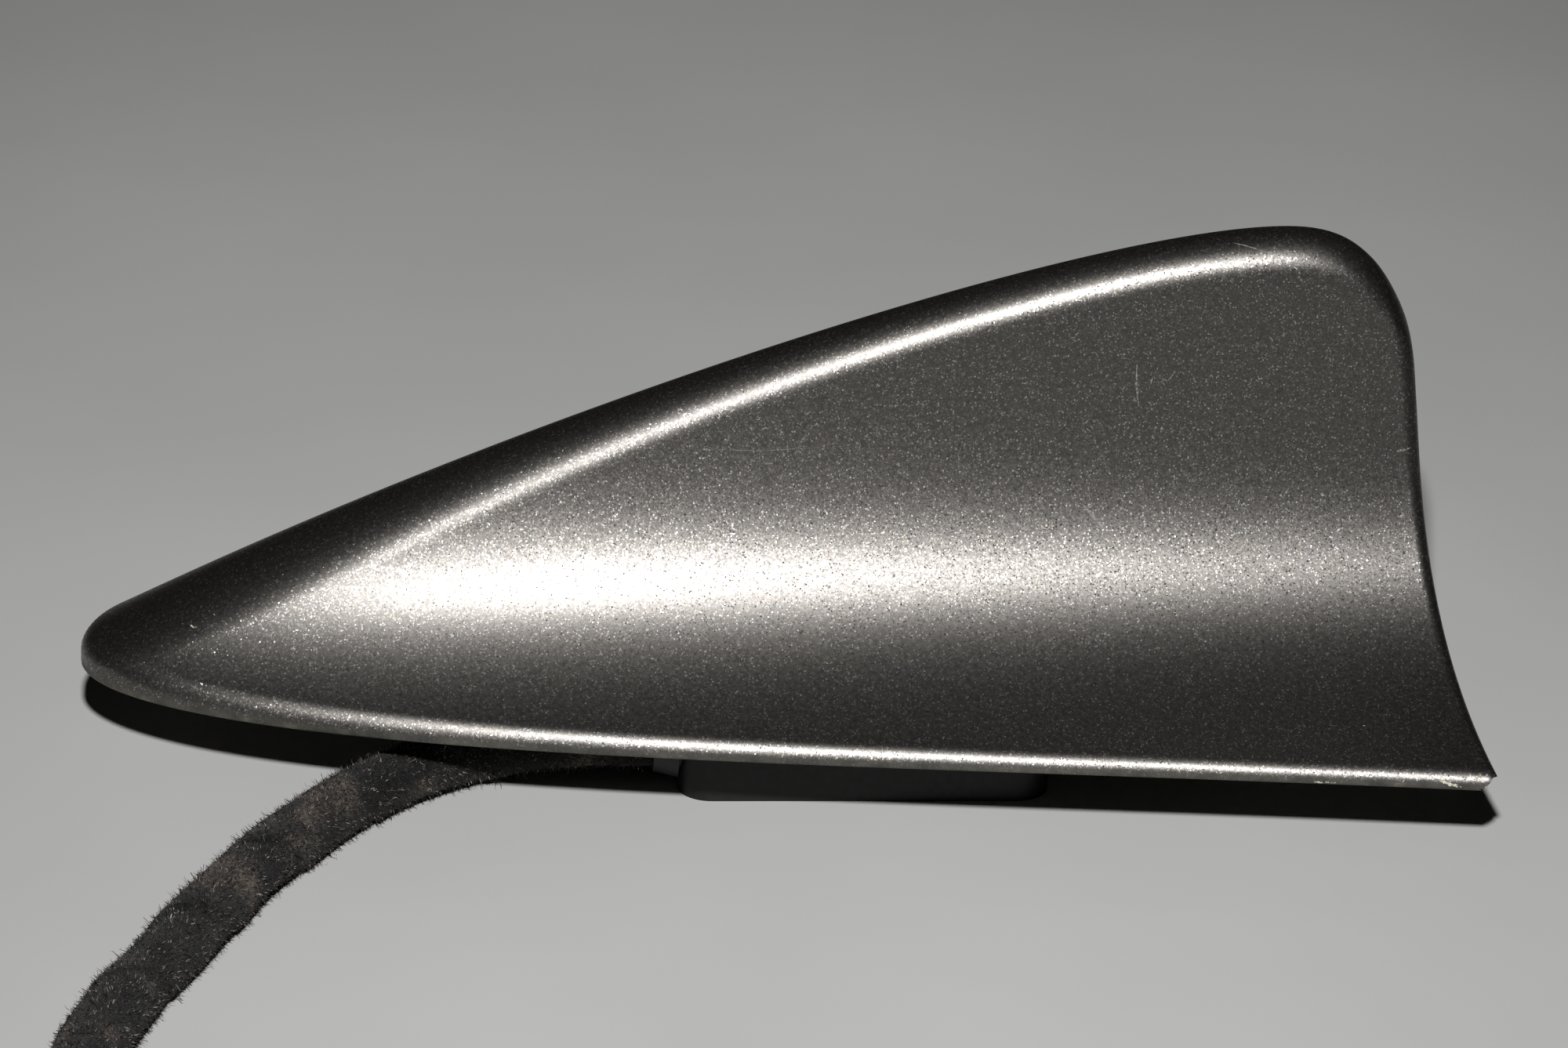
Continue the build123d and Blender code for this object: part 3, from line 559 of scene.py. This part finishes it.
dress(metal("zinc_plated_steel", "#a19d94", "#c3bfb5", 0.34, 0.9), "cover_screws", "board_screws")
dress(metal("drawn_tin_plate", "#b4b4b1", "#d2d1cd", 0.26, 2.0), "shield_can")
brass = metal("plated_brass", "#b08a4c", "#d9b878", 0.28, 0.7)
dress(brass, "patch_pin", "contact_spring", "coax_ferrules", "plug_sleeves", "plug_pins")


# Boards, patch, holder, plugs and jackets
# Glass-fibre boards under green lacquer, a fired ceramic tile, a nylon holder, coloured plugs,
# and the black PVC of the leads.
MOTTLE_GRAINS = 8


def moulded(name, dark, light, roughness, grain, relief):
    """A moulded or lacquered surface: two near tones, and a fine grain with its size and relief in mm."""
    made = new_material(name)
    mottle = texture(made, "TexNoise", MOTTLE_GRAINS * grain, Detail=6.0)
    tone = ramp(made, [(0.3, dark), (0.7, light)], mottle)
    pits = texture(made, "TexNoise", grain)
    bump = add_node(made, "Bump", {"Strength": 0.3, "Distance": relief * MM}, [("Height", pits, 0)])
    face = add_node(
        made, "BsdfPrincipled", {"Roughness": roughness}, [("Base Color", tone, 0), ("Normal", bump, 0)])
    return close_material(made, face)


dress(moulded("lacquered_board", "#17492c", "#22603b", 0.34, 0.4, 0.02), "main_board", "phone_element")
dress(moulded("fired_ceramic", "#b9a888", "#cdbd9e", 0.5, 0.25, 0.02), "patch_ceramic")
dress(moulded("natural_nylon", "#b7b09f", "#cbc5b4", 0.5, 0.4, 0.03), "element_holder")
dress(moulded("blue_plug_plastic", "#2c4f94", "#365da6", 0.46, 0.3, 0.02), "satellite_plug")
dress(moulded("dark_red_plug_plastic", "#6d2233", "#7c2b3d", 0.46, 0.3, 0.02), "phone_plug")
dress(moulded("black_plug_plastic", "#1f1f20", "#2b2b2c", 0.46, 0.3, 0.02), "radio_plug")
jacket = moulded("black_pvc_jacket", "#1d1d1e", "#29292a", 0.5, 0.2, 0.015)
dress(jacket, "inner_leads")


# Taped cable
# A bundle of coaxial leads wound with black fleece tape: each turn laps the last, which leaves a low step
# that winds round the cable, and the tape is covered in loose fibres.
CABLE_ROUTE = [
    (-24.0, -6.5, -6.4), (-34.0, -6.5, -6.4), (-46.4, -8.4, -7.2), (-56.8, -15.4, -8.2),
    (-64.2, -24.7, -8.2), (-71.0, -35.6, -8.2), (-77.5, -49.1, -8.2), (-84.6, -65.3, -8.2),
    (-91.4, -82.9, -8.2), (-93.2, -97.0, -8.2), (-91.1, -109.9, -8.2), (-85.8, -121.7, -8.2),
    (-77.7, -131.8, -8.2), (-67.1, -139.5, -8.2), (-55.1, -144.3, -8.2), (-42.3, -146.6, -8.2),
    (-30.3, -146.6, -8.2),
]
# Radius of the bundle by distance along it, and the waves that make it lumpy: height, length, times round
BUNDLE_RADII = [(0.0, 3.45), (45.0, 3.6), (100.0, 3.75), (215.0, 3.6)]
BUNDLE_LUMPS = [(0.10, 4.1, 2), (0.09, 6.7, -3), (0.07, 2.3, 4)]
# The tape's turns wander along the cable in waves: height, length, start
TAPE_WANDER = [(1.2, 23.0, 0.0), (0.7, 9.0, 1.0)]
TAPE_PITCH = 17.0
TAPE_STEP = 0.32
TAPE_RISE = 0.94
TABLE_Z = -12.0
TABLE_CLEAR = 0.02
RING_STEP = 0.45
SEGMENTS = 56
SPLINE_STEPS = 24


def route_curve(name, route):
    """A smooth curve with the route's points as its control points, in metres."""
    curve = bpy.data.curves.new(name, "CURVE")
    curve.dimensions = "3D"
    spline = curve.splines.new("NURBS")
    spline.points.add(len(route) - 1)
    for point, spot in zip(spline.points, route):
        point.co = [MM * p for p in spot] + [1.0]
    spline.order_u = 3
    spline.use_endpoint_u = True
    spline.resolution_u = SPLINE_STEPS
    piece = bpy.data.objects.new(name, curve)
    bpy.context.scene.collection.objects.link(piece)
    return piece


def route_points(name, route, step):
    """Points in mm along the route's smooth curve, evenly spaced, and how far along each one lies."""
    guide = route_curve(name, route)
    bpy.context.view_layer.update()
    line = bpy.data.meshes.new_from_object(guide)
    points = np.array([v.co for v in line.vertices]) / MM
    bpy.data.objects.remove(guide)
    run = np.concatenate([[0], np.cumsum(np.linalg.norm(np.diff(points, axis=0), axis=1))])
    wanted = np.linspace(0, run[-1], int(run[-1] / step) + 1)
    return np.stack([np.interp(wanted, run, points[:, i]) for i in range(3)], axis=1), wanted


cable_line, cable_reached = route_points("cable_guide", CABLE_ROUTE, RING_STEP)
ahead = np.gradient(cable_line, axis=0)
ahead /= np.linalg.norm(ahead, axis=1)[:, None]
side = np.cross(ahead, (0, 0, 1))
side /= np.linalg.norm(side, axis=1)[:, None]
up = np.cross(side, ahead)
around = np.linspace(0, 2 * math.pi, SEGMENTS, endpoint=False)[None, :]
along = cable_reached[:, None]
wander = sum(height * np.sin(along / length + start) for height, length, start in TAPE_WANDER)
wound = ((along + wander) / TAPE_PITCH + around / (2 * math.pi)) % 1.0
lap = np.where(wound < TAPE_RISE, wound / TAPE_RISE, (1 - wound) / (1 - TAPE_RISE))
lumps = sum(height * np.sin(along / length + times * around) for height, length, times in BUNDLE_LUMPS)
bundle = np.interp(cable_reached, *zip(*BUNDLE_RADII))[:, None]
radius = bundle + TAPE_STEP * (lap - 0.5) + lumps
spokes = np.cos(around)[..., None] * side[:, None, :] + np.sin(around)[..., None] * up[:, None, :]
tube = cable_line[:, None, :] + radius[..., None] * spokes
tube[..., 2] = np.maximum(tube[..., 2], TABLE_Z + TABLE_CLEAR)
rings = len(cable_line)
grid = np.arange(rings * SEGMENTS).reshape(rings, SEGMENTS)
tube_faces = []
for i in range(rings - 1):
    for j in range(SEGMENTS):
        k = (j + 1) % SEGMENTS
        tube_faces.append((grid[i + 1, j], grid[i + 1, k], grid[i, k], grid[i, j]))
tube_faces += [tuple(grid[0]), tuple(grid[-1, ::-1])]
cable = mesh_piece("taped_cable", tube.reshape(-1, 3), tube_faces)
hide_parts("cable_run")

# Fleece: needled polyester felt, nearly black and without shine, with a brownish dust in places
DUST_SIZE = 9.0
FELT_SIZE = 0.35
FELT_RELIEF = 0.25
FELT_SHARE = 0.6
FLEECE_COLOURS = [(0.62, "#030303"), (0.78, "#0d0c0c"), (0.90, "#2a2623"), (1.0, "#5a5048")]
fleece = new_material("black_fleece_tape")
dust = texture(fleece, "TexNoise", DUST_SIZE, Detail=5.0)
felt = texture(fleece, "TexNoise", FELT_SIZE, Detail=4.0, Distortion=1.2)
mixed = add_node(fleece, "Math", {"operation": "MULTIPLY_ADD", 1: FELT_SHARE}, [(0, felt, 0), (2, dust, 0)])
tone = ramp(fleece, FLEECE_COLOURS, mixed)
bump = add_node(fleece, "Bump", {"Strength": 0.9, "Distance": FELT_RELIEF * MM}, [("Height", felt, 0)])
cloth = add_node(
    fleece, "BsdfPrincipled",
    {"Roughness": 0.95, "Sheen Weight": 0.05, "Sheen Roughness": 0.5, "Specular IOR Level": 0.2},
    [("Base Color", tone, 0), ("Normal", bump, 0)])
cable.data.materials.append(close_material(fleece, cloth))

# Each fibre is a bent blade of two faces that stands on the tape and leans at random
FIBRES = 46000
FIBRE_SEED = 7
BARE_RINGS = (4, 6)
SHIFT_ACROSS = 0.2
SHIFT_ALONG = 0.25
LENGTH_SHAPE = 2.4
LENGTH_SCALE = 0.20
LONGEST = 1.3
STANDING = (0.4, 1.2)
LEANING = 0.8
CURLING = 0.22
HALF_WIDTHS = (0.028, 0.06)
ROOT_DEPTH = 0.1
BEND_AT = 0.55
BEND_WIDTH = 0.8
TIP_CURL = 0.4
one_each = (FIBRES, 1)
draws = np.random.default_rng(FIBRE_SEED)
rows = draws.integers(BARE_RINGS[0], rings - BARE_RINGS[1], FIBRES)
spots = draws.integers(0, SEGMENTS, FIBRES)
turn = around[0, spots][:, None]
out = np.cos(turn) * side[rows] + np.sin(turn) * up[rows]
across = np.cos(turn) * up[rows] - np.sin(turn) * side[rows]
root = tube[rows, spots] + draws.uniform(-SHIFT_ACROSS, SHIFT_ACROSS, one_each) * across
root += draws.uniform(-SHIFT_ALONG, SHIFT_ALONG, one_each) * ahead[rows]
length = np.minimum(draws.gamma(LENGTH_SHAPE, LENGTH_SCALE, one_each), LONGEST)
way = draws.uniform(*STANDING, one_each) * out
way += draws.normal(0, LEANING, one_each) * across + draws.normal(0, LEANING, one_each) * ahead[rows]
way *= length / np.linalg.norm(way, axis=1)[:, None]
curl = draws.normal(0, CURLING, (FIBRES, 3)) * length
half = np.cross(way, out)
half *= draws.uniform(*HALF_WIDTHS, one_each) / np.maximum(np.linalg.norm(half, axis=1), 1e-6)[:, None]
low = root - ROOT_DEPTH * out
bend = root + BEND_AT * way + curl
tip = root + way + TIP_CURL * curl
blades = np.stack([low - half, low + half, bend - BEND_WIDTH * half, bend + BEND_WIDTH * half, tip], axis=1)
blades[..., 2] = np.maximum(blades[..., 2], TABLE_Z + TABLE_CLEAR)
blade_faces = []
for first in range(0, blades.shape[1] * FIBRES, blades.shape[1]):
    blade_faces.append((first, first + 1, first + 3, first + 2))
    blade_faces.append((first + 2, first + 3, first + 4))
fibres = mesh_piece("tape_fibres", blades.reshape(-1, 3), blade_faces)

# Loose fibres: the same polyester, of which some strands are pale, partly from dust and partly as painted
# glints where they would catch the light
STRAND_SIZE = 0.45
# The pale top of this ramp is partly dust and partly painted glints
STRAND_DUST_AND_GLINT_COLOURS = [(0.0, "#060606"), (0.50, "#121110"), (0.80, "#36312d"), (1.0, "#8a8076")]
strands = new_material("loose_fleece_fibre_dust_and_glints")
lots = texture(strands, "TexVoronoi", STRAND_SIZE)
lot = add_node(strands, "SeparateColor", {}, [("Color", lots, "Color")])
tone = ramp(strands, STRAND_DUST_AND_GLINT_COLOURS, lot, 0)
strand = add_node(
    strands, "BsdfPrincipled", {"Roughness": 0.6, "Specular IOR Level": 0.4}, [("Base Color", tone, 0)])
fibres.data.materials.append(close_material(strands, strand))


# Leads behind the tape
# Thin coaxial leads in black PVC, which fan out from the end of the tape to their plugs.
LEAD_DIAMETER = 2.8
LEAD_ROUTES = {
    "satellite": [
        (-30.3, -144.55, -9.3), (-22.3, -144.55, -9.3), (-12.4, -141.8, -10.2),
        (-2.4, -137.3, -10.2), (7.6, -134.6, -7.7), (15.6, -134.6, -7.7),
    ],
    "phone": [
        (-30.3, -146.6, -6.0), (-22.3, -146.6, -6.0), (-12.4, -147.2, -8.6),
        (-1.4, -147.1, -10.2), (9.6, -146.6, -7.7), (18.6, -146.6, -7.7),
    ],
    "radio": [
        (-30.3, -148.65, -9.3), (-22.3, -148.65, -9.3), (-12.4, -151.4, -10.2),
        (-2.4, -155.9, -10.2), (7.6, -158.6, -7.7), (15.6, -158.6, -7.7),
    ],
}
LEAD_SMOOTHNESS = 6
for name, route in LEAD_ROUTES.items():
    lead = route_curve(f"{name}_coax", route)
    lead.data.bevel_depth = MM * LEAD_DIAMETER / 2
    lead.data.bevel_resolution = LEAD_SMOOTHNESS
    lead.data.use_fill_caps = True
    lead.data.materials.append(jacket)
    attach(lead, "root")
    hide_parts(f"{name}_lead")


# Floor
# A plain pale grey painted board, faintly mottled, that the foot and the cable lie on.
FLOOR_SIZE = 4.0
CLOUD_SIZE = 1000 / 14
pale = new_material("pale_grey_board")
clouds = texture(pale, "TexNoise", CLOUD_SIZE, Detail=3.0)
tone = ramp(pale, [(0.3, "#bcbcba"), (0.7, "#c2c2c0")], clouds)
board = add_node(
    pale, "BsdfPrincipled", {"Roughness": 0.62, "Specular IOR Level": 0.25}, [("Base Color", tone, 0)])
bpy.ops.mesh.primitive_plane_add(size=FLOOR_SIZE, location=(0, 0, MM * TABLE_Z))
floor = bpy.context.object
floor.name = "floor"
floor.data.materials.append(close_material(pale, board))


# Camera and light
# The photograph's own view, and one small lamp above the lens with a little light from all round.
# The focal length is given in widths of the image.
AZIMUTH = math.radians(-4.5)
ELEVATION = math.radians(24.079)
ROLL = math.radians(1.921)
DISTANCE = 1002.4 * MM
TARGET = Vector((-8.39 * MM, 0, 18.876 * MM))
FOCAL_WIDTHS = 5.297
SENSOR_WIDTH = 36.0
LAMP_AZIMUTH = math.radians(-5.8)
LAMP_ELEVATION = math.radians(36.0)
LAMP_DISTANCE = 1000 * MM
LAMP_RADIUS = 20 * MM
LAMP_POWER = 55.0
LAMP_CONE = math.radians(31)
ROOM_LIGHT = 0.006


def towards(azimuth, elevation):
    """Direction from the target to a place at an azimuth and an elevation."""
    level = math.cos(elevation)
    return Vector((level * math.sin(azimuth), -level * math.cos(azimuth), math.sin(elevation)))


def aimed(azimuth, elevation, roll):
    """Rotation of a camera or lamp there that looks at the target."""
    turned = Matrix.Rotation(azimuth, 3, "Z") @ Matrix.Rotation(math.pi / 2 - elevation, 3, "X")
    return (turned @ Matrix.Rotation(roll, 3, "Z")).to_euler()


camera_data = bpy.data.cameras.new("camera")
camera_data.sensor_width = SENSOR_WIDTH
camera_data.lens = SENSOR_WIDTH * FOCAL_WIDTHS
camera = bpy.data.objects.new("camera", camera_data)
camera.location = TARGET + DISTANCE * towards(AZIMUTH, ELEVATION)
camera.rotation_euler = aimed(AZIMUTH, ELEVATION, ROLL)
bpy.context.scene.collection.objects.link(camera)
bpy.context.scene.camera = camera

lamp_data = bpy.data.lights.new("flash", "SPOT")
lamp_data.energy = LAMP_POWER
lamp_data.shadow_soft_size = LAMP_RADIUS
lamp_data.spot_size = LAMP_CONE
lamp_data.spot_blend = 1.0
lamp = bpy.data.objects.new("flash", lamp_data)
lamp.location = TARGET + LAMP_DISTANCE * towards(LAMP_AZIMUTH, LAMP_ELEVATION)
lamp.rotation_euler = aimed(LAMP_AZIMUTH, LAMP_ELEVATION, 0)
bpy.context.scene.collection.objects.link(lamp)

world = bpy.data.worlds.new("room")
world.use_nodes = True
background = world.node_tree.nodes["Background"]
background.inputs["Color"].default_value = linear("#ffffff")
background.inputs["Strength"].default_value = ROOM_LIGHT
bpy.context.scene.world = world
bpy.context.scene.view_settings.view_transform = "Standard"
